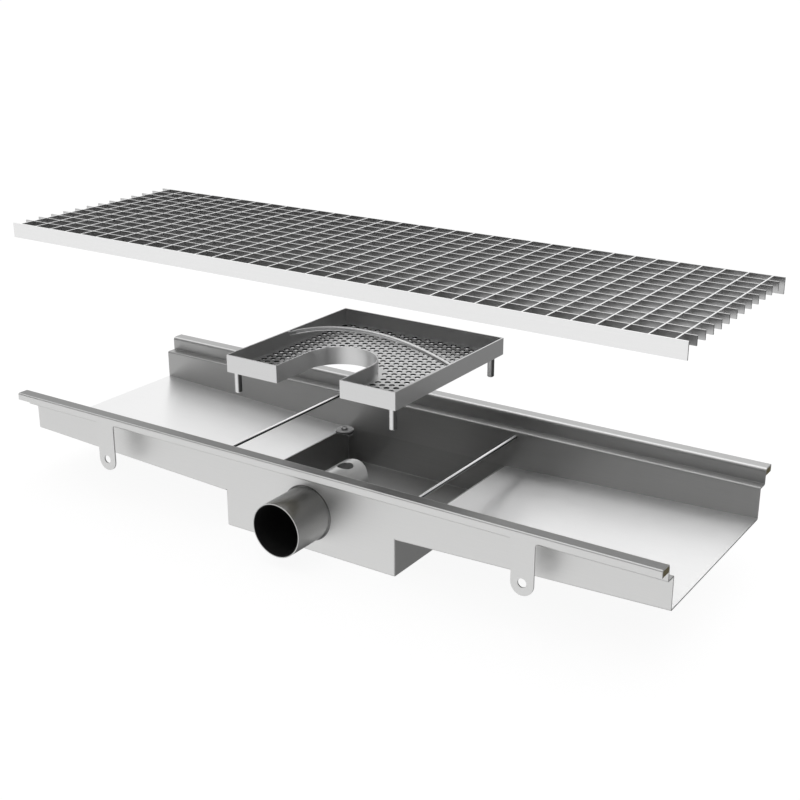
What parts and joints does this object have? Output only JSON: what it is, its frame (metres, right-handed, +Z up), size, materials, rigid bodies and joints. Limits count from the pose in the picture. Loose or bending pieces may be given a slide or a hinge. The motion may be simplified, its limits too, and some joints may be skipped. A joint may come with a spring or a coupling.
{
  "type": "channel drain",
  "caption": "Shallow folded-sheet channel drain with a central sump, side outlet and trap, shown with its mesh grating, silt basket and rodding plug lifted out.",
  "frame": {"origin": "centre of the sump's underside, with the sump centred on the channel's length and width", "axes": "+X along the channel to the right as the picture shows it, +Y across it away from the outlet, +Z up"},
  "size_m": [0.998, 0.3785, 0.3759],
  "materials": {
    "stainless_sheet": "pickled cold-rolled stainless sheet, satin",
    "bright_bar": "drawn stainless bar, semi-bright",
    "pipe_steel": "welded stainless tube, satin",
    "grating_steel": "pickled stainless flat bar, satin",
    "rim_infill": "dull olive-brown filling bar",
    "seal_rubber": "black moulded rubber"
  },
  "bodies": {
    "root": {"channel_trough": "stainless_sheet", "rim_infill_front": "rim_infill", "rim_infill_back": "rim_infill", "spreader_rod_left": "bright_bar", "spreader_rod_right": "bright_bar", "sump_box": "stainless_sheet", "outlet_pipe": "pipe_steel", "trap_elbow": "pipe_steel", "plug_cap": "bright_bar", "plug_seal": "seal_rubber", "plug_screw": "bright_bar", "plug_clamp": "bright_bar", "basket_frame": "stainless_sheet", "basket_floor": "stainless_sheet", "basket_handle": "bright_bar", "basket_leg_front_left": "bright_bar", "basket_leg_front_right": "bright_bar", "basket_leg_back_left": "bright_bar", "basket_leg_back_right": "bright_bar", "grating_front_bar": "grating_steel", "grating_back_bar": "grating_steel", "grating_infill_bars": "grating_steel", "grating_cross_bars": "grating_steel"}
  },
  "joints": []
}
